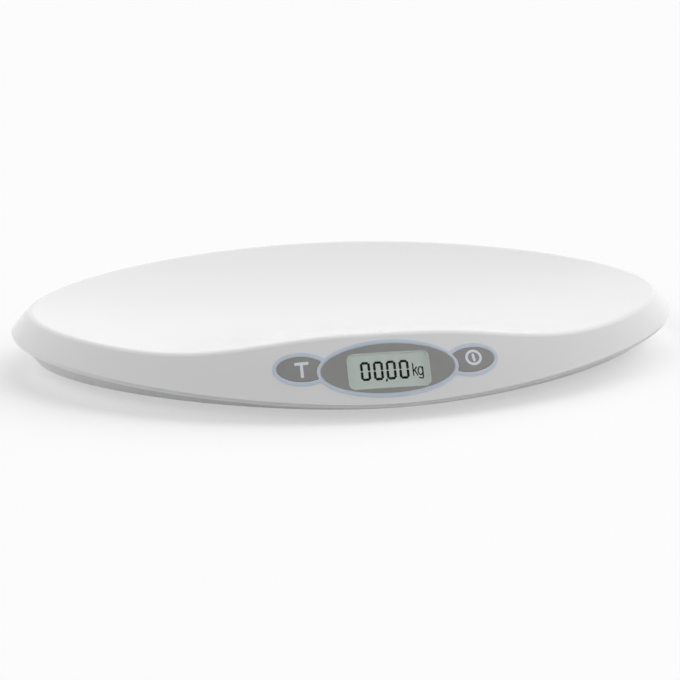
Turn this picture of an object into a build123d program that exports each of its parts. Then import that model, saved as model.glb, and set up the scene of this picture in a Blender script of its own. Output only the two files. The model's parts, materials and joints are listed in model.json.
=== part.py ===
"""Digital baby weighing scale: a long shallow dish on a shallow base with four weighing feet.

Frame: X along the length, -Y the front with the display, Z up, Z = 0 the table. Millimetres.
"""

import os
from math import atan, cos, exp, sin, sqrt

from build123d import *

# ---------------------------------------------------------------- driving dimensions
# Whole object
overall_length = 560.0
overall_width = 340.0
standing_height = 7.0  # table to flat bottom
wall = 2.6  # tray shell
base_wall = 2.4
fit_gap = 0.3  # between pieces that are put in place by hand
slide_gap = 0.1  # radial, a piece that slides in a hole

# Seam between tray shell and base shell, a line that climbs from the middle to the ends
seam_height = 13.0  # at the middle of the long sides
seam_end_height = 32.0
seam_bend_reach = 80.0  # a larger value keeps the seam low for longer
seam_step = 0.6  # the base is set back under the tray
lip_height = 3.0
lip_thickness = 1.0
lip_gap = 0.15

# Flank of the tray, leaning inwards above the seam: lean is mm in for each mm up
flank_side_lean = 0.60
flank_end_lean = 0.52
flank_side_roll = 330.0  # radius-like: a larger value makes a flatter flank
flank_end_roll = 21.0
flank_fullness = 0.532  # 0.552 is a true ellipse in plan, less is pinched
flank_top = 80.0  # height of the form that the dish is cut from

# Band of the base under the seam, leaning inwards downwards
base_side_lean = 1.12
base_end_lean = 0.74
base_low_fullness = 0.425  # in plan at the bottom
base_high_fullness = 0.497  # in plan over the seam

# Dish
dish_floor_height = 31.0
end_rim_height = 49.0
end_rim_width = 16.0  # seam tip to rim tip, in plan
dish_end_power = 2.2
back_rim_height = 62.6
back_end_radius = 234.0  # the dish's curve across, towards the ends of its back half
front_rim_height = 59.2
front_hump_reach = 118.0  # half length of the raised middle of the front rim
front_end_radius = 1020.0  # the same towards the ends of its front half
dish_sections = 6  # cross-sections to each side of the middle one
rim_radius = 5.0

# Front panel, in the plane of the flank at its middle: across, and up the flank
panel_height = 34.8
oval_half_length = 50.6
oval_half_height = 18.8
oval_rise = 1.3
wing_reach = 64.2
wing_rise = 5.0
wing_half_length = 18.4
wing_half_height = 9.6
wing_tilt = 6.0
border_width = 3.0
bare_line = 0.7  # white of the tray between border and grey areas
film = 0.3

# Display
window_length = 62.0
window_height = 27.2
window_radius = 5.0
lens_recess = 2.6
lens_thickness = 1.5
lens_margin = 2.3
frame_margin = 6.0
glass_length = 64.4
glass_height = 29.4
glass_thickness = 2.8
glass_gap = 0.4
glass_ledge = 3.6
holder_wall = 2.6
holder_ledge = 1.2
strip_thickness = 2.0

# Board
board_length = 152.0
board_height = 31.0
board_rise = 1.0
board_thickness = 1.6
board_depth = 10.9  # flank surface to board face
board_screw_reach = 48.0
board_screw_spacing = 20.0
board_boss_radius = 3.2
chip_size = 12.0
chip_thickness = 1.4
chip_reach = 30.0
connector_length = 30.0
connector_height = 6.0
connector_depth = 7.0
connector_rise = -4.0
connector_pitch = 5.5
connector_slots = (-2, 2, -1, 1)  # one for each foot's lead, the battery's is 0

# Keys
key_travel = 0.6
key_gap = 0.25
key_thickness = 0.9
key_proud = 0.2
pocket_depth = 1.6
stem_radius = 2.0
switch_size = 6.2
switch_height = 3.5
plunger_radius = 1.7
plunger_height = 0.9
plunger_depth = 1.2

# Feet and load cells
foot_reach = 150.0
foot_spread = 80.0
foot_travel = 0.5
travel_spare = 0.3
pad_radius = 16.0
pad_thickness = 2.5
pad_edge = 0.8
flange_radius = 17.5
stem_foot_radius = 10.0
stem_foot_gap = 0.5
spigot_radius = 2.5
cell_size = 34.0
cell_thickness = 3.0
cell_slot = 2.0
cell_slot_length = 22.0
cell_beam = 14.0
cell_stand = 2.5
pad_side = 5.0
gauge_length = 8.0
gauge_width = 5.0
gauge_thickness = 0.6
cover_size = 38.0
cover_height = 3.2
cover_roof = 1.4
cover_ear_reach = 24.5
cover_ear_radius = 4.2
cover_boss_radius = 3.6

# Batteries, size AA
battery_radius = 7.25
battery_length = 49.5
battery_nub_radius = 2.75
battery_nub_length = 1.0
battery_edge = 0.4
battery_count = 4
battery_pitch = 15.0
bay_centre = 50.0
bay_wall = 1.6
bay_gap = 0.4
spring_length = 4.6
spring_radius = 3.2
spring_wire_radius = 0.4
spring_turns = 3
contact_thickness = 0.5
contact_size = 8.0
door_thickness = 2.0
door_axis_height = 0.2  # over the flat bottom
tongue_width = 5.0
tongue_length = 3.0
tongue_thickness = 1.4
finger_width = 14.0
finger_height = 3.0
finger_thickness = 1.0
thumb_radius = 9.0
thumb_depth = 1.2

# Screws
screw_radius = 1.5
screw_head_radius = 2.8
screw_head_height = 1.9
screw_length = 14.0
boss_radius = 5.2
tray_boss_radius = 4.2
boss_meet_height = 20.0
screw_seat_height = 15.0
small_screw_radius = 1.1
small_head_radius = 2.1
small_head_height = 1.4
small_screw_length = 6.0
recess_length = 3.0
recess_width = 0.8
recess_depth = 1.0
end_screw_reach = 225.0
side_screw_reach = 120.0
side_screw_spread = 118.0

# Leads
lead_radius = 1.1
lead_bend = 12.0
lead_clearance = 0.05
lead_exit = 8.0
front_lead_run = 26.0
front_lead_turn = 100.0
back_lead_run = 34.0
back_lead_reach = 96.0
back_lead_turn = 60.0
inner_lead_turn = 88.0
battery_lead_run = 50.0

# ---------------------------------------------------------------- worked-out values
half_length = overall_length / 2
half_width = overall_width / 2
floor_top = standing_height + base_wall
dish_end_reach = half_length - end_rim_width
form_reach = half_length + 2 * end_rim_width
form_spread = half_width + end_rim_width
space_top = flank_top + form_spread  # over every form that is cut
end_middle_lean = flank_end_lean + (end_rim_height - seam_end_height) / (2 * flank_end_roll)

cell_seat_height = floor_top + cell_stand
cell_top = cell_seat_height + cell_thickness
feet = [(x, y) for y in (-foot_spread, foot_spread) for x in (-foot_reach, foot_reach)]
foot_names = ["front_left", "front_right", "back_left", "back_right"]

lens_back = lens_recess + lens_thickness
glass_front = lens_back + glass_gap
glass_back = glass_front + glass_thickness
board_back = board_depth + board_thickness
plunger_top = board_depth - switch_height - plunger_height
holder_length = glass_length + 2 * fit_gap + 2 * holder_wall
holder_height = glass_height + 2 * fit_gap + 2 * holder_wall
board_screw_places = [
    (x, board_rise + y)
    for x in (-board_screw_reach, board_screw_reach)
    for y in (-board_screw_spacing / 2, board_screw_spacing / 2)
]

bay_half_length = battery_count * battery_pitch / 2 + bay_gap
battery_places = [battery_pitch * (n - (battery_count - 1) / 2) for n in range(battery_count)]
bay_span = battery_length + battery_nub_length + spring_length + 2 * contact_thickness
bay_front = bay_centre - bay_span / 2
bay_back = bay_centre + bay_span / 2
battery_axis_height = floor_top + battery_radius
bay_ceiling = floor_top + 2 * battery_radius + bay_gap

shell_screw_places = [(-end_screw_reach, 0), (end_screw_reach, 0)] + [
    (x, y)
    for x in (-side_screw_reach, side_screw_reach)
    for y in (-side_screw_spread, side_screw_spread)
]
cover_screw_places = [(x, y + side * cover_ear_reach) for x, y in feet for side in (-1, 1)]

lead_height = floor_top + lead_radius + lead_clearance
tongue_bottom = floor_top + slide_gap
tongue_swing = sqrt(
    tongue_length**2 + (tongue_bottom + tongue_thickness - standing_height - door_axis_height) ** 2
)
slot_top = standing_height + door_axis_height + tongue_swing + fit_gap
tongue_places = [-battery_pitch, battery_pitch]

os.makedirs("parts", exist_ok=True)


def finish(piece, name):
    """Name a finished piece and write it to its file."""
    piece.part.label = name
    export_step(piece.part, f"parts/{name}.step")


# ---------------------------------------------------------------- outer forms
def flank_half_width(height):
    """Half the tray form's width at a height."""
    up = height - seam_height
    return half_width - flank_side_lean * up - up * abs(up) / (2 * flank_side_roll)


def flank_half_length(height):
    """Half the tray form's length at a height."""
    up = height - seam_end_height
    return half_length - flank_end_lean * up - up * abs(up) / (2 * flank_end_roll)


def oval(half_x, half_y, fullness, height):
    """A smooth oval at a height, made of four equal curved quarters."""
    with BuildSketch(Plane.XY.offset(height)) as section:
        with BuildLine():
            Bezier((half_x, 0), (half_x, fullness * half_y), (fullness * half_x, half_y), (0, half_y))
            mirror(about=Plane.YZ)
            mirror(about=Plane.XZ)
        make_face()
    return section.sketch


def tray_form(inset):
    """The solid inside the tray's flank, taken in by a thickness."""
    side = inset * sqrt(1 + flank_side_lean**2)
    end = inset * sqrt(1 + end_middle_lean**2)
    rim_zone = (seam_end_height + back_rim_height) / 2
    sections = [
        oval(flank_half_length(z) - end, flank_half_width(z) - side, flank_fullness, z)
        for z in (0, seam_height, seam_end_height, rim_zone, back_rim_height, flank_top)
    ]
    with BuildPart() as form:
        loft(sections)
    return form.part


def base_form(inset, bottom):
    """The solid inside the base's band, taken in by a thickness, from a height up."""
    side = inset * sqrt(1 + base_side_lean**2)
    end = inset * sqrt(1 + base_end_lean**2)
    top = seam_end_height + end_rim_width
    sections = []
    for z in (bottom, top):
        share = (z - standing_height) / (top - standing_height)
        sections.append(
            oval(
                half_length + base_end_lean * (z - seam_end_height) - end,
                half_width + base_side_lean * (z - seam_height) - side,
                base_low_fullness + (base_high_fullness - base_low_fullness) * share,
                z,
            )
        )
    with BuildPart() as form:
        loft(sections, ruled=True)
    return form.part


def bow(rim_height):
    """Curve across the dish that brings it to a rim height at the flank."""
    return (rim_height - dish_floor_height) / flank_half_width(rim_height) ** 2


def dish_form(drop):
    """The space over the dish, let down by a thickness."""
    front_end_bow = 1 / (2 * front_end_radius)
    hump = bow(front_rim_height) - front_end_bow
    middle_bow = bow(back_rim_height)
    growth = 1 / (2 * back_end_radius) - middle_bow
    reach = form_spread
    with BuildPart() as form:
        for step in range(-dish_sections, dish_sections + 1):
            x = form_reach * step / dish_sections
            share = abs(x) / dish_end_reach
            low = dish_floor_height + (end_rim_height - dish_floor_height) * share**dish_end_power - drop
            front_top = (front_end_bow + hump * exp(-((abs(x) / front_hump_reach) ** 3))) * reach**2
            back_top = (middle_bow + growth * share**2) * reach**2
            with BuildSketch(Plane.YZ.offset(x)):
                with BuildLine():
                    Bezier((-reach, low + front_top), (-reach / 2, low), (0, low))
                    Bezier((0, low), (reach / 2, low), (reach, low + back_top))
                    Polyline(
                        (reach, low + back_top),
                        (reach, space_top),
                        (-reach, space_top),
                        (-reach, low + front_top),
                    )
                make_face()
        loft()
    return form.part


def above_seam(lift):
    """Everything over the seam, raised by a distance."""
    climb = (seam_end_height - seam_height) / (half_length - seam_bend_reach)
    low = seam_height + lift
    end = seam_end_height + lift
    far = end + climb * (form_reach - half_length)
    with BuildPart() as region:
        with BuildSketch(Plane.XZ):
            with BuildLine():
                Bezier((-half_length, end), (-seam_bend_reach, low), (0, low))
                Bezier((0, low), (seam_bend_reach, low), (half_length, end))
                Polyline(
                    (half_length, end),
                    (form_reach, far),
                    (form_reach, space_top),
                    (-form_reach, space_top),
                    (-form_reach, far),
                    (-half_length, end),
                )
            make_face()
        extrude(amount=2 * form_spread, both=True)
    return region.part


flank_form = tray_form(0)
dish_space = dish_form(0)
over_seam = above_seam(0)


def rimmed_quarter(keep):
    """Front or back quarter of the tray's outer form at +X, its rim rounded."""
    with BuildPart() as quarter:
        add(flank_form)
        add(dish_space, mode=Mode.SUBTRACT)
        split(bisect_by=Plane.YZ)
        split(bisect_by=Plane.XZ, keep=keep)
        fillet(quarter.edges().sort_by(Axis.Z)[-1], radius=rim_radius)
    return quarter.part


# ---------------------------------------------------------------- front panel frame
panel_slope = flank_side_lean + (panel_height - seam_height) / flank_side_roll
panel_tilt = atan(panel_slope)
panel = Plane(
    origin=(0, -flank_half_width(panel_height), panel_height),
    x_dir=(1, 0, 0),
    z_dir=(0, -cos(panel_tilt), sin(panel_tilt)),
)
panel_reach = 2 * board_depth


def wing_area(side, grow, cut):
    """A wing of the panel beside the oval: side is -1 for left, 1 for right."""
    with BuildSketch() as area:
        with Locations((side * wing_reach, wing_rise)):
            Ellipse(wing_half_length + grow, wing_half_height + grow, rotation=side * wing_tilt)
        with Locations((0, oval_rise)):
            Ellipse(oval_half_length + cut, oval_half_height + cut, mode=Mode.SUBTRACT)
    return area.sketch_local


key_places = [(-wing_reach, wing_rise), (wing_reach, wing_rise)]


def through_panel(area):
    """A prism of an area of the panel, through the flank."""
    with BuildPart() as prism:
        with BuildSketch(panel):
            add(area)
        extrude(amount=panel_reach, both=True)
    return prism.part


# ---------------------------------------------------------------- tray shell
# The hollow under the tray, with the bosses and the window frame standing in it
with BuildPart() as tray_hollow:
    add(tray_form(wall))
    add(dish_form(wall), mode=Mode.SUBTRACT)
    with BuildSketch(panel.offset(-lens_back)):
        Rectangle(window_length + 2 * frame_margin, window_height + 2 * frame_margin)
    extrude(amount=lens_back, mode=Mode.SUBTRACT)
    with BuildSketch(panel.offset(-board_depth)):
        with Locations(*board_screw_places):
            Circle(board_boss_radius)
    extrude(amount=board_depth, mode=Mode.SUBTRACT)
    with BuildSketch(Plane.XY.offset(boss_meet_height)):
        with Locations(*shell_screw_places):
            Circle(tray_boss_radius)
    extrude(amount=flank_top, mode=Mode.SUBTRACT)

with BuildPart() as key_pockets:
    add(through_panel(wing_area(-1, 0, border_width)))
    add(through_panel(wing_area(1, 0, border_width)))
    add(tray_form(pocket_depth), mode=Mode.SUBTRACT)

with BuildPart() as tray_shell:
    add(rimmed_quarter(Keep.TOP))
    add(rimmed_quarter(Keep.BOTTOM))
    mirror(about=Plane.YZ)
    add(over_seam, mode=Mode.INTERSECT)
    add(tray_hollow.part, mode=Mode.SUBTRACT)
    add(key_pockets.part, mode=Mode.SUBTRACT)
    with BuildSketch(panel):
        RectangleRounded(window_length, window_height, window_radius)
    extrude(amount=lens_back + fit_gap, both=True, mode=Mode.SUBTRACT)
    with BuildSketch(panel.offset(-lens_back)):
        RectangleRounded(
            window_length + 2 * lens_margin + 2 * fit_gap,
            window_height + 2 * lens_margin + 2 * fit_gap,
            window_radius,
        )
    extrude(amount=lens_thickness, mode=Mode.SUBTRACT)
    with BuildSketch(panel):
        with Locations(*key_places):
            Circle(stem_radius + fit_gap)
    extrude(amount=-board_depth, mode=Mode.SUBTRACT)
    with BuildSketch(panel.offset(-board_depth)):
        with Locations(*key_places):
            Rectangle(switch_size + 2 * fit_gap, switch_size + 2 * fit_gap)
    extrude(amount=switch_height + fit_gap, mode=Mode.SUBTRACT)
    with BuildSketch(panel.offset(-board_depth)):
        with Locations(*board_screw_places):
            Circle(small_screw_radius)
    extrude(amount=small_screw_length - board_thickness + fit_gap, mode=Mode.SUBTRACT)
    with BuildSketch(Plane.XY.offset(boss_meet_height)):
        with Locations(*shell_screw_places):
            Circle(screw_radius)
    extrude(amount=screw_seat_height + screw_length + fit_gap - boss_meet_height, mode=Mode.SUBTRACT)
finish(tray_shell, "tray_shell")

# ---------------------------------------------------------------- base shell
# The hollow of the base, with what stands on its floor
with BuildPart() as base_hollow:
    add(base_form(seam_step + base_wall, floor_top))
    with BuildSketch(Plane.XY.offset(floor_top)):
        with Locations(*shell_screw_places):
            Circle(boss_radius)
    extrude(amount=boss_meet_height - floor_top, mode=Mode.SUBTRACT)
    with BuildSketch(Plane.XY.offset(floor_top)):
        with Locations((0, bay_centre)):
            Rectangle(2 * (bay_half_length + bay_wall), bay_span + 2 * bay_wall)
    extrude(amount=bay_ceiling + bay_wall - floor_top, mode=Mode.SUBTRACT)
    with BuildSketch(Plane.XY.offset(floor_top)):
        for x, y in feet:
            with Locations((x, y)):
                with GridLocations(cell_size - pad_side, cell_size - pad_side, 2, 2):
                    Rectangle(pad_side, pad_side)
    extrude(amount=cell_seat_height - floor_top, mode=Mode.SUBTRACT)
    with BuildSketch(Plane.XY.offset(floor_top)):
        with Locations(*cover_screw_places):
            Circle(cover_boss_radius)
    extrude(amount=cell_top - floor_top, mode=Mode.SUBTRACT)

with BuildPart() as lip:
    add(tray_form(wall + lip_gap))
    add(tray_form(wall + lip_gap + lip_thickness), mode=Mode.SUBTRACT)
    add(above_seam(-lip_height), mode=Mode.INTERSECT)
    add(above_seam(lip_height), mode=Mode.SUBTRACT)
    with BuildSketch(panel.offset(-lens_back - fit_gap)):
        Rectangle(
            window_length + 2 * (frame_margin + fit_gap),
            window_height + 2 * (frame_margin + fit_gap),
        )
    extrude(amount=lens_back + lip_height, mode=Mode.SUBTRACT)

with BuildPart() as base_shell:
    add(base_form(seam_step, standing_height))
    add(over_seam, mode=Mode.SUBTRACT)
    add(base_hollow.part, mode=Mode.SUBTRACT)
    add(lip.part)
    with BuildSketch(Plane.XY.offset(standing_height)):
        with Locations((0, bay_centre)):
            Rectangle(2 * bay_half_length, bay_span)
    extrude(amount=bay_ceiling - standing_height, mode=Mode.SUBTRACT)
    with BuildSketch(Plane.XY.offset(standing_height)):
        with Locations(*feet):
            Circle(stem_foot_radius + stem_foot_gap)
    extrude(amount=base_wall, mode=Mode.SUBTRACT)
    with BuildSketch(Plane.XY.offset(standing_height)):
        with Locations(*shell_screw_places):
            Circle(screw_head_radius + fit_gap)
    extrude(amount=screw_seat_height - standing_height, mode=Mode.SUBTRACT)
    with BuildSketch(Plane.XY.offset(standing_height)):
        with Locations(*shell_screw_places):
            Circle(screw_radius + slide_gap)
    extrude(amount=boss_meet_height - standing_height, mode=Mode.SUBTRACT)
    with BuildSketch(Plane.XY.offset(cell_top)):
        with Locations(*cover_screw_places):
            Circle(small_screw_radius)
    extrude(amount=-(small_screw_length - cover_height + fit_gap), mode=Mode.SUBTRACT)
    with BuildSketch(Plane.XY.offset(standing_height)):
        with Locations((0, bay_front)):
            Circle(thumb_radius)
            Rectangle(2 * thumb_radius, thumb_radius, align=(Align.CENTER, Align.MIN), mode=Mode.SUBTRACT)
    extrude(amount=thumb_depth, mode=Mode.SUBTRACT)
    with BuildSketch(Plane.XY.offset(floor_top)):
        with Locations(*[(x, bay_back) for x in tongue_places]):
            Rectangle(
                tongue_width + 2 * fit_gap,
                tongue_length + fit_gap,
                align=(Align.CENTER, Align.MIN),
            )
    extrude(amount=slot_top - floor_top, mode=Mode.SUBTRACT)
finish(base_shell, "base_shell")

# ---------------------------------------------------------------- front panel pieces
with BuildPart() as film_skin:
    add(tray_form(-film))
    add(flank_form, mode=Mode.SUBTRACT)

with BuildPart() as panel_border:
    with BuildSketch(panel):
        with Locations((0, oval_rise)):
            Ellipse(oval_half_length + border_width, oval_half_height + border_width)
        for side in (-1, 1):
            with Locations((side * wing_reach, wing_rise)):
                Ellipse(
                    wing_half_length + border_width,
                    wing_half_height + border_width,
                    rotation=side * wing_tilt,
                )
        with Locations((0, oval_rise)):
            Ellipse(
                oval_half_length + bare_line,
                oval_half_height + bare_line,
                mode=Mode.SUBTRACT,
            )
        for side in (-1, 1):
            add(wing_area(side, bare_line, border_width - bare_line), mode=Mode.SUBTRACT)
    extrude(amount=panel_reach, both=True)
    add(film_skin.part, mode=Mode.INTERSECT)
finish(panel_border, "panel_border")

with BuildPart() as display_fascia:
    with BuildSketch(panel):
        with Locations((0, oval_rise)):
            Ellipse(oval_half_length, oval_half_height)
        RectangleRounded(window_length, window_height, window_radius, mode=Mode.SUBTRACT)
    extrude(amount=panel_reach, both=True)
    add(film_skin.part, mode=Mode.INTERSECT)
    split(bisect_by=Plane.YZ)
    mirror(about=Plane.YZ)
finish(display_fascia, "display_fascia")


def make_key(side):
    """A wing-shaped key cap with its stem: side is -1 for left, 1 for right."""
    with BuildPart() as key:
        add(through_panel(wing_area(side, -key_gap, border_width + key_gap)))
        add(tray_form(key_thickness - key_proud), mode=Mode.SUBTRACT)
        with BuildSketch(panel.offset(-plunger_top)):
            with Locations((side * wing_reach, wing_rise)):
                Circle(stem_radius)
        extrude(amount=plunger_top)
        add(tray_form(-key_proud), mode=Mode.INTERSECT)
    return key


def make_plunger(side):
    """The moving pin of a push switch."""
    with BuildPart() as plunger:
        with BuildSketch(panel.offset(-plunger_top)):
            with Locations((side * wing_reach, wing_rise)):
                Circle(plunger_radius)
        extrude(amount=-(plunger_height + plunger_depth))
    return plunger


def make_switch(side):
    """The body of a push switch, on the face of the board."""
    with BuildPart() as switch:
        with BuildSketch(panel.offset(-board_depth)):
            with Locations((side * wing_reach, wing_rise)):
                Rectangle(switch_size, switch_size)
        extrude(amount=switch_height)
        with BuildSketch(panel.offset(-plunger_top)):
            with Locations((side * wing_reach, wing_rise)):
                Circle(plunger_radius + slide_gap)
        extrude(
            amount=-(plunger_height + plunger_depth + key_travel + fit_gap),
            mode=Mode.SUBTRACT,
        )
    return switch


for side, word in ((-1, "tare"), (1, "power")):
    finish(make_key(side), f"{word}_key")
    finish(make_plunger(side), f"{word}_switch_plunger")
    finish(make_switch(side), f"{word}_switch")

# ---------------------------------------------------------------- display
with BuildPart() as display_lens:
    with BuildSketch(panel.offset(-lens_back)):
        RectangleRounded(
            window_length + 2 * lens_margin,
            window_height + 2 * lens_margin,
            window_radius,
        )
    extrude(amount=lens_thickness)
finish(display_lens, "display_lens")

# Two sheets of glass: the back one stops short and leaves a ledge for the contact strip
with BuildPart() as lcd_glass:
    with BuildSketch(panel.offset(-glass_back)):
        Rectangle(glass_length, glass_height)
    extrude(amount=glass_thickness)
    with BuildSketch(panel.offset(-glass_back)):
        with Locations((0, -glass_height / 2)):
            Rectangle(glass_length, glass_ledge, align=(Align.CENTER, Align.MIN))
    extrude(amount=glass_thickness / 2, mode=Mode.SUBTRACT)
finish(lcd_glass, "lcd_glass")

with BuildPart() as lcd_holder:
    with BuildSketch(panel.offset(-board_depth)):
        RectangleRounded(holder_length, holder_height, holder_wall)
        Rectangle(
            glass_length + 2 * (fit_gap - holder_ledge),
            glass_height + 2 * (fit_gap - holder_ledge),
            mode=Mode.SUBTRACT,
        )
    extrude(amount=board_depth - lens_back)
    with BuildSketch(panel.offset(-glass_back)):
        Rectangle(glass_length + 2 * fit_gap, glass_height + 2 * fit_gap)
    extrude(amount=glass_back, mode=Mode.SUBTRACT)
finish(lcd_holder, "lcd_holder")

with BuildPart() as elastomer_strip:
    with BuildSketch(panel.offset(-board_depth)):
        with Locations((0, strip_thickness / 2 + holder_ledge - glass_height / 2)):
            Rectangle(glass_length - 4 * holder_ledge, strip_thickness)
    extrude(amount=board_depth - glass_back + glass_thickness / 2)
finish(elastomer_strip, "elastomer_strip")

# ---------------------------------------------------------------- board
with BuildPart() as main_board:
    with BuildSketch(panel.offset(-board_back)):
        with Locations((0, board_rise)):
            Rectangle(board_length, board_height)
        with Locations(*board_screw_places):
            Circle(small_screw_radius + slide_gap, mode=Mode.SUBTRACT)
    extrude(amount=board_thickness)
finish(main_board, "main_board")

with BuildPart() as controller_chip:
    with BuildSketch(panel.offset(-board_back)):
        with Locations((-chip_reach, board_rise)):
            Rectangle(chip_size, chip_size)
    extrude(amount=-chip_thickness)
finish(controller_chip, "controller_chip")

with BuildPart() as lead_connector:
    with BuildSketch(panel.offset(-board_back)):
        with Locations((0, connector_rise)):
            Rectangle(connector_length, connector_height)
    extrude(amount=-connector_depth)
finish(lead_connector, "lead_connector")

# ---------------------------------------------------------------- feet and load cells
def make_foot_pad(x, y):
    """Rubber disc that stands on the table."""
    with BuildPart() as foot_pad:
        with BuildSketch():
            with Locations((x, y)):
                Circle(pad_radius)
        extrude(amount=pad_thickness)
        fillet(foot_pad.edges().sort_by(Axis.Z)[0], radius=pad_edge)
    return foot_pad


def make_foot_cup(x, y):
    """Flanged foot whose spigot runs in the load cell's tongue."""
    flange_top = standing_height - foot_travel - travel_spare
    stem_top = cell_seat_height - foot_travel - travel_spare
    with BuildPart() as foot_cup:
        with BuildSketch(Plane.XY.offset(pad_thickness)):
            with Locations((x, y)):
                Circle(flange_radius)
        extrude(amount=flange_top - pad_thickness)
        chamfer(foot_cup.edges().sort_by(Axis.Z)[0], length=pad_edge)
        with BuildSketch(Plane.XY.offset(flange_top)):
            with Locations((x, y)):
                Circle(stem_foot_radius)
        extrude(amount=stem_top - flange_top)
        with BuildSketch(Plane.XY.offset(stem_top)):
            with Locations((x, y)):
                Circle(spigot_radius)
        extrude(amount=cell_top - foot_travel - stem_top)
    return foot_cup


def make_load_cell(x, y):
    """Square sensor plate with a tongue cut in it."""
    with BuildPart() as load_cell:
        with BuildSketch(Plane.XY.offset(cell_seat_height)):
            with Locations((x, y)):
                RectangleRounded(cell_size, cell_size, cell_slot)
                Rectangle(cell_beam + 2 * cell_slot, cell_slot_length, mode=Mode.SUBTRACT)
                Rectangle(cell_beam, cell_slot_length)
            with Locations((x, y + cell_slot_length / 2 - cell_slot / 2)):
                Rectangle(cell_beam, cell_slot, mode=Mode.SUBTRACT)
            with Locations((x, y)):
                Circle(spigot_radius + slide_gap / 2, mode=Mode.SUBTRACT)
        extrude(amount=cell_thickness)
    return load_cell


def make_cell_cover(x, y):
    """Clamp over a load cell, hollow over the tongue, with a screw ear at each end."""
    with BuildPart() as cover:
        with BuildSketch(Plane.XY.offset(cell_top)):
            with Locations((x, y)):
                RectangleRounded(cover_size, cover_size, cover_ear_radius)
                Rectangle(2 * cover_ear_radius, 2 * cover_ear_reach)
            with Locations((x, y - cover_ear_reach), (x, y + cover_ear_reach)):
                Circle(cover_ear_radius)
                Circle(small_screw_radius + slide_gap, mode=Mode.SUBTRACT)
        extrude(amount=cover_height)
        with BuildSketch(Plane.XY.offset(cell_top)):
            with Locations((x, y)):
                Rectangle(cell_size - 2 * pad_side, cell_size - 2 * pad_side)
        extrude(amount=cover_height - cover_roof, mode=Mode.SUBTRACT)
    return cover


for name, (x, y) in zip(foot_names, feet):
    finish(make_foot_pad(x, y), f"foot_pad_{name}")
    finish(make_foot_cup(x, y), f"foot_cup_{name}")
    finish(make_load_cell(x, y), f"load_cell_{name}")
    finish(make_cell_cover(x, y), f"load_cell_cover_{name}")

with BuildPart() as strain_gauges:
    with BuildSketch(Plane.XY.offset(cell_top)):
        with Locations(*[(x, y - (cell_slot_length - gauge_width) / 2) for x, y in feet]):
            Rectangle(gauge_length, gauge_width)
    extrude(amount=gauge_thickness)
finish(strain_gauges, "strain_gauges")


# ---------------------------------------------------------------- batteries
def make_battery(x, side):
    """A dry cell lying along Y, its nub towards side: 1 for back, -1 for front."""
    nub_wall = bay_centre + side * (bay_span / 2 - contact_thickness)
    with BuildPart() as battery:
        with BuildSketch(Plane.XZ.offset(-(nub_wall - side * battery_nub_length))):
            with Locations((x, battery_axis_height)):
                Circle(battery_radius)
        extrude(amount=side * battery_length)
        fillet(battery.edges(), radius=battery_edge)
        with BuildSketch(Plane.XZ.offset(-nub_wall)):
            with Locations((x, battery_axis_height)):
                Circle(battery_nub_radius)
        extrude(amount=side * battery_nub_length)
    return battery


for number, x in enumerate(battery_places):
    finish(make_battery(x, 1 - 2 * (number % 2)), f"battery_{number + 1}")

# One coil spring at the flat end of each battery
with BuildPart() as battery_springs:
    for number, x in enumerate(battery_places):
        side = 2 * (number % 2) - 1
        wall_face = bay_centre + side * (bay_span / 2 - contact_thickness - spring_wire_radius)
        coil_length = spring_length - 2 * spring_wire_radius
        with BuildLine():
            coil = Helix(
                pitch=coil_length / spring_turns,
                height=coil_length,
                radius=spring_radius,
                center=(x, wall_face, battery_axis_height),
                direction=(0, -side, 0),
            )
        with BuildSketch(Plane(origin=coil @ 0, z_dir=coil % 0)):
            Circle(spring_wire_radius)
        sweep(path=coil, is_frenet=True)
finish(battery_springs, "battery_springs")

# Sheet contacts on the bay's end walls, in pairs that join neighbouring batteries
with BuildPart() as battery_contacts:
    with BuildSketch(Plane.XZ.offset(-bay_back)):
        with Locations(*[(x, battery_axis_height) for x in (-battery_pitch, battery_pitch)]):
            Rectangle(battery_pitch + contact_size, contact_size)
    extrude(amount=contact_thickness)
    with BuildSketch(Plane.XZ.offset(-bay_front)):
        with Locations((0, battery_axis_height)):
            Rectangle(battery_pitch + contact_size, contact_size)
        with Locations(*[(x, battery_axis_height) for x in (battery_places[0], battery_places[-1])]):
            Rectangle(contact_size, contact_size)
    extrude(amount=-contact_thickness)
finish(battery_contacts, "battery_contacts")

with BuildPart() as battery_door:
    with BuildSketch(Plane.XY.offset(standing_height)):
        with Locations((0, bay_centre)):
            Rectangle(2 * (bay_half_length - fit_gap), bay_span - 2 * fit_gap)
    extrude(amount=door_thickness)
    with BuildSketch(Plane.XY.offset(tongue_bottom)):
        with Locations(*[(x, bay_back) for x in tongue_places]):
            Rectangle(tongue_width, 2 * tongue_length)
    extrude(amount=tongue_thickness)
    with BuildSketch(Plane.XY.offset(standing_height + door_thickness)):
        with Locations(*[(x, bay_back - fit_gap) for x in tongue_places]):
            Rectangle(tongue_width, tongue_length - fit_gap, align=(Align.CENTER, Align.MAX))
    extrude(amount=tongue_bottom - standing_height - door_thickness)
    with BuildSketch(Plane.XY.offset(standing_height + door_thickness)):
        with Locations((0, bay_front + fit_gap)):
            Rectangle(finger_width, finger_thickness, align=(Align.CENTER, Align.MIN))
    extrude(amount=finger_height)
finish(battery_door, "battery_door")

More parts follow.
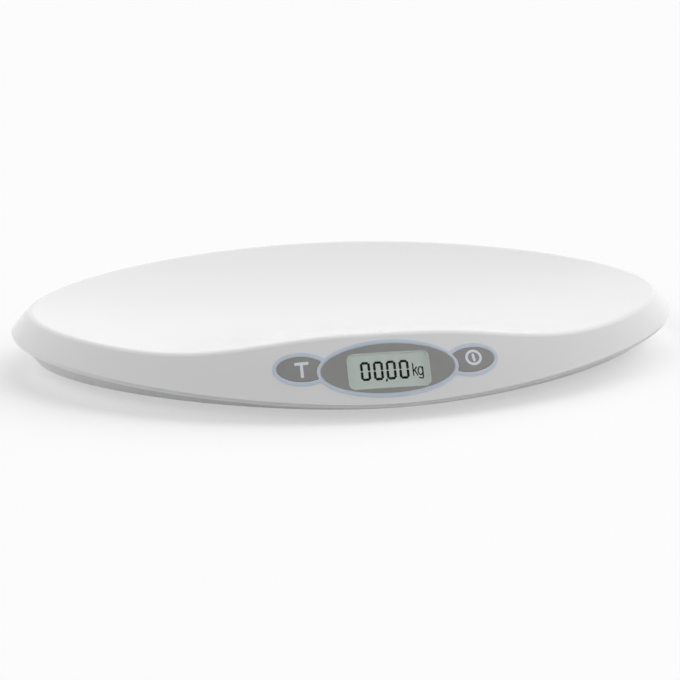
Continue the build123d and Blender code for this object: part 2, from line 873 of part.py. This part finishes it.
# ---------------------------------------------------------------- screws
with BuildPart() as shell_screws:
    with BuildSketch(Plane.XY.offset(screw_seat_height)):
        with Locations(*shell_screw_places):
            Circle(screw_head_radius)
    extrude(amount=-screw_head_height)
    with BuildSketch(Plane.XY.offset(screw_seat_height)):
        with Locations(*shell_screw_places):
            Circle(screw_radius)
    extrude(amount=screw_length)
    with BuildSketch(Plane.XY.offset(screw_seat_height - screw_head_height)):
        with Locations(*shell_screw_places):
            Rectangle(recess_length, recess_width)
            Rectangle(recess_width, recess_length)
    extrude(amount=recess_depth, mode=Mode.SUBTRACT)
finish(shell_screws, "shell_screws")

with BuildPart() as board_screws:
    with BuildSketch(panel.offset(-board_back)):
        with Locations(*board_screw_places):
            Circle(small_head_radius)
    extrude(amount=-small_head_height)
    with BuildSketch(panel.offset(-board_back)):
        with Locations(*board_screw_places):
            Circle(small_screw_radius)
    extrude(amount=small_screw_length)
finish(board_screws, "board_screws")

with BuildPart() as cover_screws:
    with BuildSketch(Plane.XY.offset(cell_top + cover_height)):
        with Locations(*cover_screw_places):
            Circle(small_head_radius)
    extrude(amount=small_head_height)
    with BuildSketch(Plane.XY.offset(cell_top + cover_height)):
        with Locations(*cover_screw_places):
            Circle(small_screw_radius)
    extrude(amount=-small_screw_length)
finish(cover_screws, "cover_screws")


# ---------------------------------------------------------------- leads
def make_lead(points):
    """A round lead along straight runs with tangent bends."""
    with BuildPart() as lead:
        with BuildLine() as route:
            FilletPolyline(*points, radius=lead_bend)
        with BuildSketch(Plane(origin=route.line @ 0, z_dir=route.line % 0)):
            Circle(lead_radius)
        sweep(path=route.line)
    return lead


def connector_end(place):
    """Where a lead meets the connector, and the point on the floor that it rises from."""
    end = panel.from_local_coords((place * connector_pitch, connector_rise, -board_back - connector_depth))
    rise = (end.Z - lead_height) / panel.z_dir.Z
    return [end - panel.z_dir * rise, end]


for name, (x, y), place in zip(foot_names, feet, connector_slots):
    side = 1 if x > 0 else -1
    start = (x - side * cover_size / 2, y, cell_top + cover_height / 2)
    clear_of_cover = (start[0] - side * lead_exit, y, start[2])
    floor_end = connector_end(place)
    if y < 0:
        middle = [
            (start[0] - side * front_lead_run, y, lead_height),
            (floor_end[0].X, -front_lead_turn, lead_height),
        ]
    else:
        middle = [
            (start[0] - side * back_lead_run, y, lead_height),
            (side * back_lead_reach, -back_lead_turn, lead_height),
            (floor_end[0].X, -inner_lead_turn, lead_height),
        ]
    finish(make_lead([start, clear_of_cover] + middle + floor_end), f"load_cell_lead_{name}")

battery_lead_points = [
    (0, bay_front - bay_wall, battery_axis_height),
    (0, bay_front - bay_wall - lead_exit, battery_axis_height),
    (0, bay_front - bay_wall - battery_lead_run, lead_height),
] + connector_end(0)
finish(make_lead(battery_lead_points), "battery_lead")
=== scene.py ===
import json
from math import cos, pi, radians, sin, sqrt

import bmesh
import bpy
from mathutils import Matrix, Vector
from mathutils.bvhtree import BVHTree


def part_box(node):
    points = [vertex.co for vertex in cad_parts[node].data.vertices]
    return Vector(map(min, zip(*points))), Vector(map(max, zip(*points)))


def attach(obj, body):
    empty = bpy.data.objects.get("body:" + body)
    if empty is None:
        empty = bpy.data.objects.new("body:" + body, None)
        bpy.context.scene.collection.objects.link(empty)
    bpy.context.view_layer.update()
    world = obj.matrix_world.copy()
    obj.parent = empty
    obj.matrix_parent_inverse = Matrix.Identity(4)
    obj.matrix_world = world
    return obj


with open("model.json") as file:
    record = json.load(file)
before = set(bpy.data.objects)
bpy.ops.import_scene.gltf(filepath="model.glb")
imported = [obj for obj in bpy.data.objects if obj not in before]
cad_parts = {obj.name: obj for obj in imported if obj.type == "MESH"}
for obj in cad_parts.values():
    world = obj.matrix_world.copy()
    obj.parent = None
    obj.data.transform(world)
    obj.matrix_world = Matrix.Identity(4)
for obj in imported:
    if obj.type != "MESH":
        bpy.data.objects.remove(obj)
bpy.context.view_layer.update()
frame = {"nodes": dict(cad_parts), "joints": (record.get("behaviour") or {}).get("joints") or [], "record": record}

nodes = frame["nodes"]
collection = bpy.context.scene.collection
mm = 0.001

cameraLook = {
    "place": (-0.19490, -1.03640, 0.34980),
    "turn": 10.18,  # degrees
    "down": 17.966,
    "fieldOfView": 29.38,
}


def makeCamera():
    turn = radians(cameraLook["turn"])
    down = radians(cameraLook["down"])
    ahead = Vector((sin(turn) * cos(down), cos(turn) * cos(down), -sin(down)))
    right = Vector((cos(turn), -sin(turn), 0))
    axes = Matrix((right, right.cross(ahead), -ahead)).transposed().to_4x4()
    camera = bpy.data.objects.new("camera", bpy.data.cameras.new("camera"))
    camera.matrix_world = Matrix.Translation(cameraLook["place"]) @ axes
    camera.data.angle = radians(cameraLook["fieldOfView"])
    collection.objects.link(camera)
    bpy.context.scene.camera = camera


makeCamera()
bpy.context.scene.view_settings.view_transform = "Standard"


def tone(red, green, blue):
    # screen values from 0 to 255, as the linear colour that a shader takes
    shares = [value / 255 for value in (red, green, blue)]
    return [s / 12.92 if s <= 0.04045 else ((s + 0.055) / 1.055) ** 2.4 for s in shares] + [1.0]


def addNode(tree, kind, settings=None, sockets=None, output=0):
    # settings come first, because they decide which sockets there are
    node = tree.nodes.new(kind)
    for name, value in (settings or {}).items():
        setattr(node, name, value)
    for name, value in (sockets or {}).items():
        if isinstance(value, Number):
            tree.links.new(value.socket, node.inputs[name])
        else:
            node.inputs[name].default_value = value
    return Number(tree, node.outputs[output])


# A value in a shader, so that maths on it is written as an expression
class Number:
    def __init__(self, tree, socket):
        self.tree = tree
        self.socket = socket

    def maths(self, operation, *values):
        return addNode(self.tree, "ShaderNodeMath", {"operation": operation}, dict(enumerate(values)))

    def __add__(self, other):
        return self.maths("ADD", self, other)

    def __sub__(self, other):
        return self.maths("SUBTRACT", self, other)

    def __mul__(self, other):
        return self.maths("MULTIPLY", self, other)

    def __abs__(self):
        return self.maths("ABSOLUTE", self)

    def above(self, level):
        return self.maths("GREATER_THAN", self, level)

    def root(self):
        return self.maths("SQRT", self)

    def wave(self):
        return self.maths("SINE", self)


# A finish under way: its material, its shader and the nodes that feed it
class Finish:
    def __init__(self, name, colour, roughness, **constants):
        self.material = bpy.data.materials.new(name)
        self.material.use_nodes = True
        self.tree = self.material.node_tree
        self.shader = self.tree.nodes["Principled BSDF"]
        self.shader.inputs["Base Color"].default_value = colour
        self.shader.inputs["Roughness"].default_value = roughness
        for socket, value in constants.items():
            self.shader.inputs[socket.replace("_", " ")].default_value = value
        self.place = self.add("ShaderNodeTexCoord", output="Object")

    def add(self, kind, settings=None, sockets=None, output=0):
        return addNode(self.tree, kind, settings, sockets, output)

    def axis(self, number):
        return self.add("ShaderNodeSeparateXYZ", None, {0: self.place}, number)

    def noise(self, grain, detail=2.0, stretch=(1, 1, 1)):
        # grain is in metres
        place = self.add("ShaderNodeMapping", None, {"Vector": self.place, "Scale": stretch})
        levels = {"Vector": place, "Scale": 1 / grain, "Detail": detail}
        return self.add("ShaderNodeTexNoise", None, levels)

    def ramp(self, value, low, high, start=0, end=1):
        # a value between low and high becomes one between start and end
        levels = {"Value": value, "From Min": low, "From Max": high, "To Min": start, "To Max": end}
        return self.add("ShaderNodeMapRange", None, levels)

    def blend(self, mask, first, second):
        return self.add("ShaderNodeMix", {"data_type": "RGBA"}, {0: mask, 6: first, 7: second}, 2)

    def feed(self, **links):
        for socket, value in links.items():
            self.tree.links.new(value.socket, self.shader.inputs[socket.replace("_", " ")])

    def bump(self, height, depth):
        # depth is in metres, from height 0 to height 1
        self.feed(Normal=self.add("ShaderNodeBump", None, {"Height": height, "Distance": depth}))


plasticLook = {
    "ripple": 6.0 * mm,  # the slow waves of a glossy moulding
    "rippleDepth": 0.004 * mm,
    "grain": 0.35 * mm,
    "grainDepth": 0.0006 * mm,
    "smudge": 45 * mm,
    "unevenGloss": 0.06,
}


def glossPlastic(name, colour, roughness, **constants):
    # polished moulding: slow ripple, very fine grain, uneven gloss
    finish = Finish(name, colour, roughness, **constants)
    ripple = finish.noise(plasticLook["ripple"], 1.0)
    grain = finish.noise(plasticLook["grain"], 3.0)
    share = plasticLook["grainDepth"] / plasticLook["rippleDepth"]
    finish.bump(ripple + grain * share, plasticLook["rippleDepth"])
    patches = finish.noise(plasticLook["smudge"], 4.0)
    uneven = plasticLook["unevenGloss"] / 2
    finish.feed(Roughness=finish.ramp(patches, 0.3, 0.7, roughness - uneven, roughness + uneven))
    return finish.material


def satinPlastic(name, colour, roughness, grain=0.5 * mm, depth=0.006 * mm):
    # sparked moulding: an even fine grain that also breaks up the gloss
    finish = Finish(name, colour, roughness)
    pits = finish.noise(grain, 3.0)
    finish.bump(pits, depth)
    finish.feed(Roughness=finish.ramp(pits, 0.3, 0.7, roughness + 0.07, roughness - 0.07))
    return finish.material


def deeper(colour, share):
    return [level * share for level in colour[:3]] + [1.0]


def panelFilm(name, colour, roughness):
    # printed film: a fine grain in the ink and a faint unevenness of tone
    finish = Finish(name, colour, roughness, Coat_Weight=0.25, Coat_Roughness=0.2)
    ink = finish.noise(0.25 * mm, 2.0)
    clouds = finish.noise(14 * mm, 3.0)
    finish.feed(Base_Color=finish.blend(finish.ramp(clouds, 0.3, 0.7), colour, deeper(colour, 0.93)))
    finish.feed(Roughness=finish.ramp(ink, 0.3, 0.7, roughness - 0.05, roughness + 0.05))
    finish.bump(ink, 0.003 * mm)
    return finish.material


metalLook = {
    "lineLength": 4 * mm,
    "lineDepth": 0.004 * mm,
    "worn": 0.82,
}


def brushedMetal(name, colour, roughness, across=(1, 30, 30)):
    # fine lines: across is how many times finer they are along each axis
    finish = Finish(name, colour, roughness, Metallic=1.0)
    lines = finish.noise(metalLook["lineLength"], 5.0, across)
    finish.bump(lines, metalLook["lineDepth"])
    finish.feed(Roughness=finish.ramp(lines, 0.25, 0.75, roughness - 0.1, roughness + 0.12))
    worn = deeper(colour, metalLook["worn"])
    finish.feed(Base_Color=finish.blend(finish.ramp(lines, 0.35, 0.65), colour, worn))
    return finish.material


def clearWindow(name):
    # clear plastic: the light that it turns back is a gloss, the rest goes through
    finish = Finish(name, tone(255, 255, 255), 0.04)
    scuff = finish.noise(0.6 * mm, 2.0)
    normal = finish.add("ShaderNodeBump", None, {"Height": scuff, "Distance": 0.0004 * mm})
    gloss = finish.add("ShaderNodeBsdfGlossy", None, {"Roughness": 0.05, "Normal": normal})
    through = finish.add("ShaderNodeBsdfTransparent", None, {"Color": tone(254, 255, 254)})
    turned = finish.add("ShaderNodeFresnel", None, {"IOR": 1.2, "Normal": normal})
    mixed = finish.add("ShaderNodeMixShader", None, {0: turned, 1: through, 2: gloss})
    output = finish.tree.nodes["Material Output"]
    finish.tree.links.new(mixed.socket, output.inputs["Surface"])
    finish.tree.nodes.remove(finish.shader)
    return finish.material


def displayCell(name):
    # glass over a grey-green reflector with a faint sparkle, and a faint painted glow that brightens the cell
    # against the shade of its recess
    finish = Finish(name, tone(232, 240, 235), 0.32, Specular_IOR_Level=0.2, Emission_Strength=0.17)
    # painted glow: a weak emission that lifts the cell out of the shade of its recess
    finish.shader.inputs["Emission Color"].default_value = tone(236, 246, 240)
    sparkle = finish.noise(0.3 * mm, 2.0)
    shade = finish.ramp(sparkle, 0.3, 0.7)
    finish.feed(Base_Color=finish.blend(shade, tone(228, 237, 231), tone(236, 243, 239)))
    finish.feed(Roughness=finish.ramp(sparkle, 0.3, 0.7, 0.28, 0.4))
    finish.bump(sparkle, 0.002 * mm)
    return finish.material


rubberLook = {
    "ringPitch": 2.5 * mm,
    "ringDepth": 0.25 * mm,
    "grain": 0.12,  # its share of a ring's depth
}


def rubber(name, colour):
    # dull rubber with shallow rings about each foot's middle, seen from below
    finish = Finish(name, colour, 0.7)
    low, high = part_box("foot_pad_front_right")
    middle = (low + high) / 2
    across = abs(finish.axis(0)) - middle.x
    along = abs(finish.axis(1)) + middle.y
    reach = (across * across + along * along).root()
    rings = (reach * (2 * pi / rubberLook["ringPitch"])).wave()
    grain = finish.noise(0.5 * mm, 4.0)
    height = finish.ramp(rings, 0.2, 0.7) + grain * rubberLook["grain"]
    finish.bump(height, rubberLook["ringDepth"])
    finish.feed(Roughness=finish.ramp(grain, 0.3, 0.7, 0.62, 0.8))
    return finish.material


def boardLacquer(name):
    # green lacquer over copper tracks that show as a low relief
    finish = Finish(name, tone(28, 104, 62), 0.35)
    tracks = finish.add(
        "ShaderNodeTexBrick",
        {"offset": 0.35, "squash": 0.6},
        {"Vector": finish.place, "Scale": 160.0, "Mortar Size": 0.012, "Mortar Smooth": 0.4},
        1,
    )
    grain = finish.noise(0.4 * mm, 2.0)
    finish.feed(Base_Color=finish.blend(tracks, tone(26, 98, 58), tone(64, 132, 78)))
    finish.feed(Roughness=finish.ramp(grain, 0.3, 0.7, 0.28, 0.42))
    finish.bump(tracks + grain * 0.1, 0.03 * mm)
    return finish.material


batteryLook = {
    "sleeve": tone(52, 55, 60),
    "band": tone(172, 108, 62),
    "steel": tone(186, 186, 184),
    "bandFrom": 0.45,  # as a share of the half length
    "bareEnd": 1.6 * mm,
}


def batteryJacket(name):
    # plain sleeve with a copper-coloured band towards one end, bare steel at both ends
    look = batteryLook
    finish = Finish(name, look["sleeve"], 0.28, Coat_Weight=0.4, Coat_Roughness=0.12)
    low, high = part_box("battery_1")
    along = finish.axis(1)
    middle = (low.y + high.y) / 2
    half = (high.y - low.y) / 2
    end = abs(along - middle).above(half - look["bareEnd"])
    band = (along - middle).above(half * look["bandFrom"])
    sleeve = finish.blend(band, look["sleeve"], look["band"])
    finish.feed(Base_Color=finish.blend(end, sleeve, look["steel"]))
    finish.feed(Metallic=end * 0.9 + band * 0.05)
    scuffs = finish.noise(3 * mm, 5.0, (1, 0.2, 1))
    finish.feed(Roughness=finish.ramp(scuffs, 0.3, 0.7, 0.2, 0.36))
    finish.bump(scuffs, 0.01 * mm)
    return finish.material


def inkFinish(name, colour, roughness, **constants):
    # printed ink with a faint grain
    finish = Finish(name, colour, roughness, **constants)
    grain = finish.noise(0.2 * mm, 2.0)
    finish.feed(Roughness=finish.ramp(grain, 0.3, 0.7, roughness - 0.08, roughness + 0.08))
    finish.bump(grain, 0.002 * mm)
    return finish.material


trayCoat = {"Coat_Weight": 0.1, "Coat_Roughness": 0.12}
finishes = {
    "tray_white": glossPlastic("trayWhite", tone(241, 241, 241), 0.22, **trayCoat),
    "base_white": glossPlastic("baseWhite", tone(240, 240, 241), 0.3),
    "pale_blue_film": panelFilm("paleBlueFilm", tone(208, 222, 239), 0.35),
    "panel_grey": panelFilm("panelGrey", tone(150, 150, 149), 0.36),
    "clear_lens": clearWindow("clearLens"),
    "lcd_cell": displayCell("displayCell"),
    "holder_white": satinPlastic("holderWhite", tone(226, 226, 222), 0.5),
    "strip_pink": satinPlastic("stripPink", tone(206, 150, 150), 0.6, 0.2 * mm),
    "board_green": boardLacquer("boardGreen"),
    "chip_black": satinPlastic("chipBlack", tone(38, 38, 40), 0.55, 0.25 * mm),
    "connector_ivory": satinPlastic("connectorIvory", tone(232, 226, 206), 0.45),
    "plunger_brown": satinPlastic("plungerBrown", tone(84, 62, 50), 0.4),
    "foot_rubber": rubber("footRubber", tone(96, 98, 100)),
    "foot_plastic": satinPlastic("footPlastic", tone(212, 213, 214), 0.45, 0.6 * mm, 0.012 * mm),
    "cell_steel": brushedMetal("cellSteel", tone(196, 197, 198), 0.34),
    "cover_plastic": satinPlastic("coverPlastic", tone(224, 224, 222), 0.5),
    "gauge_amber": satinPlastic("gaugeAmber", tone(206, 150, 70), 0.3, 0.3 * mm),
    "battery_jacket": batteryJacket("batteryJacket"),
    "spring_nickel": brushedMetal("springNickel", tone(214, 213, 210), 0.22, (8, 8, 8)),
    "screw_steel": brushedMetal("screwSteel", tone(188, 189, 192), 0.3, (6, 6, 20)),
    "lead_sheath": satinPlastic("leadSheath", tone(178, 181, 186), 0.5, 0.8 * mm),
}
segmentInk = inkFinish("segmentInk", tone(9, 10, 11), 0.6, Specular_IOR_Level=0.05)
signInk = inkFinish("signInk", tone(236, 239, 247), 0.4)
for part in frame["record"]["subparts"]:
    nodes[part["node"]].data.materials[0] = finishes[part["material_slot"]]
print("finishes:", len(finishes))


# The front panel has its own frame: across, up the flank and outwards, from the middle of the window
panelLook = {
    "lensDepth": 3.35 * mm,  # from the flank's surface to the middle of the lens
}


def panelMatrix(depth=0.0):
    # depth is how far under the flank's surface
    press = next(joint for joint in frame["joints"] if joint["name"] == "tare_key_press")
    outwards = -Vector(press["axis"])
    across = Vector((1, 0, 0))
    axes = Matrix((across, outwards.cross(across), outwards)).transposed().to_4x4()
    low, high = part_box("display_lens")
    place = (low + high) / 2 + outwards * (panelLook["lensDepth"] - depth)
    return Matrix.Translation(place) @ axes


def makePiece(name, bm, material, body):
    mesh = bpy.data.meshes.new(name)
    bm.to_mesh(mesh)
    bm.free()
    mesh.materials.append(material)
    piece = bpy.data.objects.new(name, mesh)
    collection.objects.link(piece)
    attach(piece, body)


displayLook = {
    "depth": 4.42 * mm,  # just over the glass
    "thickness": 0.08 * mm,
    "digitLefts": (-20.7, -11.0, -1.3, 8.4),
    "digitWidth": 7.4,
    "digitHeight": 14.4,
    "digitMiddle": 0.7,
    "stroke": 1.85,
    "gap": 0.25,
    "chamfer": 0.55,
    "comma": ((-1.2, -5.6), (-2.2, -7.9)),
    "commaWidth": 1.2,
    "commaChamfer": 0.3,
    "penWidth": 0.92,
    "kStem": ((18.9, -4.6), (18.9, 5.2)),
    "kArm": ((21.8, 2.1), (19.1, -1.2)),
    "kLeg": ((20.0, -0.2), (22.1, -4.6)),
    "gBowl": (24.4, -1.1),
    "gBowlReach": (1.75, 3.1),
    "gTail": ((26.2, 2.1), (26.2, -4.0), (26.0, -6.7), (24.2, -6.8), (22.8, -5.9)),
}


def addBar(bm, start, end, width, height, chamfer):
    # a flat bar between two points, in mm
    start = Vector(start)
    run = Vector(end) - start
    made = bmesh.ops.create_cube(bm, size=1)["verts"]
    bmesh.ops.scale(bm, vec=(run.length, width, height), verts=made)
    edges = {edge for vertex in made for edge in vertex.link_edges}
    upright = [edge for edge in edges if abs((edge.verts[0].co - edge.verts[1].co).z) > height / 2]
    result = bmesh.ops.bevel(
        bm, geom=upright, affect="EDGES", offset=chamfer, segments=1, profile=0.5, material=-1
    )
    made = list({vertex for vertex in made if vertex.is_valid} | set(result["verts"]))
    turn = Matrix.Rotation(run.angle_signed(Vector((1, 0))), 4, "Z")
    middle = start + run / 2
    bmesh.ops.transform(bm, matrix=Matrix.Translation((*middle, 0)) @ turn, verts=made)


def makeDisplay():
    look = displayLook
    bm = bmesh.new()
    height = look["thickness"] / mm
    half = look["digitHeight"] / 2
    inset = look["stroke"] / 2
    for left in look["digitLefts"]:
        right = left + look["digitWidth"]
        low = look["digitMiddle"] - half
        middle = look["digitMiddle"]
        top = look["digitMiddle"] + half
        corner = inset + look["gap"]
        segments = [
            ((left + corner, low + inset), (right - corner, low + inset)),
            ((left + corner, top - inset), (right - corner, top - inset)),
        ]
        for x in (left + inset, right - inset):
            segments.append(((x, low + corner), (x, middle - look["gap"])))
            segments.append(((x, middle + look["gap"]), (x, top - corner)))
        for start, end in segments:
            addBar(bm, start, end, look["stroke"], height, look["chamfer"])
    addBar(bm, *look["comma"], look["commaWidth"], height, look["commaChamfer"])
    bmesh.ops.transform(bm, matrix=panelMatrix(look["depth"]) @ Matrix.Scale(mm, 4), verts=bm.verts)
    makePiece("display_digits", bm, segmentInk, "scale_body")


def penStrokes(name, lines, width, height):
    # flat strokes with round ends: each line is its points in mm and whether it closes
    curve = bpy.data.curves.new(name, "CURVE")
    curve.dimensions = "3D"
    curve.bevel_depth = width / 2
    curve.bevel_resolution = 2
    curve.resolution_u = 8
    curve.use_fill_caps = True
    for points, closes in lines:
        spline = curve.splines.new("NURBS")
        spline.points.add(len(points) - 1)
        for point, (x, y) in zip(spline.points, points):
            point.co = (x, y, 0, 1)
        spline.order_u = 2 if len(points) < 3 else 3
        spline.use_endpoint_u = not closes
        spline.use_cyclic_u = closes
    pen = bpy.data.objects.new(name, curve)
    bm = bmesh.new()
    bm.from_mesh(bpy.data.meshes.new_from_object(pen))
    bpy.data.objects.remove(pen)
    bmesh.ops.scale(bm, vec=(1, 1, height / width), verts=bm.verts)
    return bm


def roundPath(centre, reach, count=16):
    angles = [2 * pi * number / count for number in range(count)]
    return [(centre[0] + reach[0] * cos(a), centre[1] + reach[1] * sin(a)) for a in angles]


def makeUnit():
    look = displayLook
    lines = [
        (look["kStem"], False),
        (look["kArm"], False),
        (look["kLeg"], False),
        (roundPath(look["gBowl"], look["gBowlReach"]), True),
        (look["gTail"], False),
    ]
    bm = penStrokes("unit", lines, look["penWidth"], look["thickness"] / mm)
    bmesh.ops.transform(bm, matrix=panelMatrix(look["depth"]) @ Matrix.Scale(mm, 4), verts=bm.verts)
    makePiece("display_unit", bm, segmentInk, "scale_body")


makeDisplay()
makeUnit()
print("display: digits, comma and unit")

signLook = {
    "thickness": 0.06 * mm,
    "lift": 0.01 * mm,
    "tareTop": ((-69.3, 9.2), (-59.0, 9.2)),
    "tareStem": ((-64.25, 9.2), (-64.25, -1.4)),
    "tareWidth": 2.3,
    "ringCentre": (65.9, 6.5),
    "ringReach": (5.55, 5.05),
    "ringWidth": 2.0,
    "barLength": 4.4,
    "barWidth": 2.2,
    "barLean": 100.0,  # degrees from the line across
    "step": 0.8,  # between the corners that follow the key's curve
    "ringSteps": 64,
    "ringLanes": 3,
}


def layOn(bm, node):
    # drops a flat drawing in mm straight down onto a key's face
    surface = bmesh.new()
    surface.from_mesh(nodes[node].data)
    tree = BVHTree.FromBMesh(surface)
    surface.free()
    placed = panelMatrix()
    outwards = (placed.to_3x3() @ Vector((0, 0, 1))).normalized()
    for vertex in bm.verts:
        flat = placed @ (Vector((vertex.co.x, vertex.co.y, 0)) * mm)
        hit = tree.ray_cast(flat + outwards * 20 * mm, -outwards)[0]
        vertex.co = hit + outwards * signLook["lift"]
    raised = bmesh.ops.extrude_face_region(bm, geom=bm.faces)["geom"]
    corners = [item for item in raised if isinstance(item, bmesh.types.BMVert)]
    bmesh.ops.translate(bm, vec=outwards * signLook["thickness"], verts=corners)
    bmesh.ops.recalc_face_normals(bm, faces=bm.faces)


def flatBar(bm, start, end, width, roundEnds=False):
    start = Vector(start)
    run = Vector(end) - start
    counts = [max(2, round(side / signLook["step"])) for side in (run.length, width)]
    made = bmesh.ops.create_grid(bm, x_segments=counts[0], y_segments=counts[1], size=0.5)["verts"]
    bmesh.ops.scale(bm, vec=(run.length, width, 1), verts=made)
    if roundEnds:
        # the grid's end lines are bowed into half circles
        for vertex in made:
            bulge = sqrt(max(0, (width / 2) ** 2 - vertex.co.y**2))
            vertex.co.x += bulge * 2 * vertex.co.x / run.length
    turn = Matrix.Rotation(run.angle_signed(Vector((1, 0))), 4, "Z")
    bmesh.ops.transform(bm, matrix=Matrix.Translation((*(start + run / 2), 0)) @ turn, verts=made)


def flatRing(bm, centre, reach, width):
    inner = bmesh.ops.create_circle(bm, radius=1, segments=signLook["ringSteps"])["verts"]
    edges = list({edge for vertex in inner for edge in vertex.link_edges})
    bmesh.ops.scale(bm, vec=(reach[0] - width / 2, reach[1] - width / 2, 1), verts=inner)
    lanes = signLook["ringLanes"]
    for lane in range(lanes):
        outer = bmesh.ops.extrude_edge_only(bm, edges=edges)["geom"]
        corners = [item for item in outer if isinstance(item, bmesh.types.BMVert)]
        edges = [item for item in outer if isinstance(item, bmesh.types.BMEdge)]
        before = [side - width / 2 + width * lane / lanes for side in reach]
        after = [side + width / lanes for side in before]
        bmesh.ops.scale(bm, vec=(after[0] / before[0], after[1] / before[1], 1), verts=corners)
        inner += corners
    bmesh.ops.translate(bm, vec=(*centre, 0), verts=inner)


def makeSigns():
    look = signLook
    bm = bmesh.new()
    flatBar(bm, *look["tareTop"], look["tareWidth"])
    stemTop, stemFoot = look["tareStem"]
    flatBar(bm, (stemTop[0], stemTop[1] - look["tareWidth"] / 2), stemFoot, look["tareWidth"])
    layOn(bm, "tare_key")
    makePiece("tare_sign", bm, signInk, "tare_key")
    bm = bmesh.new()
    centre = Vector(look["ringCentre"])
    flatRing(bm, centre, look["ringReach"], look["ringWidth"])
    lean = radians(look["barLean"])
    arm = Vector((cos(lean), sin(lean))) * look["barLength"] / 2
    flatBar(bm, centre - arm, centre + arm, look["barWidth"], True)
    layOn(bm, "power_key")
    makePiece("power_sign", bm, signInk, "power_key")


makeSigns()
print("signs: tare and power")

doorLook = {
    "ribs": 5,
    "ribLength": 20 * mm,
    "ribWidth": 1.0 * mm,
    "ribHeight": 0.5 * mm,
    "ribRound": 0.3 * mm,
    "ribPitch": 2.4 * mm,
    "fromEdge": 4.0 * mm,
}


def makeDoorRibs():
    look = doorLook
    low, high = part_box("battery_door")
    bm = bmesh.new()
    for number in range(look["ribs"]):
        made = bmesh.ops.create_cube(bm, size=1)["verts"]
        place = (0, low.y + look["fromEdge"] + number * look["ribPitch"], low.z)
        size = (look["ribLength"], look["ribWidth"], 2 * look["ribHeight"])
        bmesh.ops.scale(bm, vec=size, verts=made)
        bmesh.ops.translate(bm, vec=place, verts=made)
    bmesh.ops.bevel(
        bm,
        geom=list(bm.edges),
        affect="EDGES",
        offset=look["ribRound"],
        segments=3,
        profile=0.5,
        material=-1,
    )
    makePiece("door_grip_ribs", bm, finishes["base_white"], "battery_door")


makeDoorRibs()
print("underside: grip ribs")

lightLook = {
    "sides": 1.68,  # the room is bright to the left and the right
    "sidesFrom": 0.5,
    "sidesFull": 0.72,
    "lamp": 1.92,
    "lampSpread": 65.0,  # degrees, a very soft light
    "lampLeanBack": 24.0,
    "lampLeanRight": 26.0,
    "floorTone": 0.5,
    "floorGlow": 0.49,
    "floorReach": 12.0,
}
lightPaths = ("Is Camera Ray", "Is Glossy Ray", "Is Transmission Ray")


def whiteForCamera(tree, plain, white):
    # what the camera, gloss and glass see is white, what lights the object is plain
    rays = [addNode(tree, "ShaderNodeLightPath", output=name) for name in lightPaths]
    seen = rays[0].maths("MAXIMUM", rays[0], rays[1].maths("MAXIMUM", rays[1], rays[2]))
    return addNode(tree, "ShaderNodeMixShader", None, {0: seen, 1: plain, 2: white})


def makeWorld():
    world = bpy.data.worlds.new("studio")
    world.use_nodes = True
    tree = world.node_tree
    direction = addNode(tree, "ShaderNodeTexCoord")
    across = addNode(tree, "ShaderNodeSeparateXYZ", None, {0: direction})
    levels = {
        "Value": abs(across),
        "From Min": lightLook["sidesFrom"],
        "From Max": lightLook["sidesFull"],
        "To Max": lightLook["sides"],
    }
    sides = addNode(tree, "ShaderNodeMapRange", None, levels)
    plain = addNode(tree, "ShaderNodeBackground", None, {"Color": (1, 1, 1, 1), "Strength": sides})
    white = addNode(tree, "ShaderNodeBackground", None, {"Color": (1, 1, 1, 1), "Strength": 1.0})
    mixed = whiteForCamera(tree, plain, white)
    tree.links.new(mixed.socket, tree.nodes["World Output"].inputs["Surface"])
    bpy.context.scene.world = world


def makeFloor():
    bm = bmesh.new()
    bmesh.ops.create_grid(bm, x_segments=1, y_segments=1, size=lightLook["floorReach"])
    mesh = bpy.data.meshes.new("floor")
    bm.to_mesh(mesh)
    bm.free()
    floor = bpy.data.objects.new("floor", mesh)
    collection.objects.link(floor)
    material = bpy.data.materials.new("floorWhite")
    material.use_nodes = True
    tree = material.node_tree
    tree.nodes.remove(tree.nodes["Principled BSDF"])
    level = lightLook["floorTone"]
    diffuse = addNode(tree, "ShaderNodeBsdfDiffuse", None, {"Color": (level, level, level, 1)})
    glow = addNode(tree, "ShaderNodeEmission", None, {"Strength": lightLook["floorGlow"]})
    lit = addNode(tree, "ShaderNodeAddShader", None, {0: diffuse, 1: glow})
    mixed = whiteForCamera(tree, diffuse, lit)
    tree.links.new(mixed.socket, tree.nodes["Material Output"].inputs["Surface"])
    mesh.materials.append(material)


def makeLamp():
    light = bpy.data.lights.new("overhead", "SUN")
    light.energy = lightLook["lamp"]
    light.angle = radians(lightLook["lampSpread"])
    lamp = bpy.data.objects.new("overhead", light)
    leanBack = Matrix.Rotation(-radians(lightLook["lampLeanBack"]), 4, "X")
    leanRight = Matrix.Rotation(radians(lightLook["lampLeanRight"]), 4, "Y")
    lamp.matrix_world = leanRight @ leanBack
    lamp.visible_glossy = False  # the gloss shows the white room
    collection.objects.link(lamp)


makeWorld()
makeFloor()
makeLamp()
print("stage: camera, lamp, world and floor")
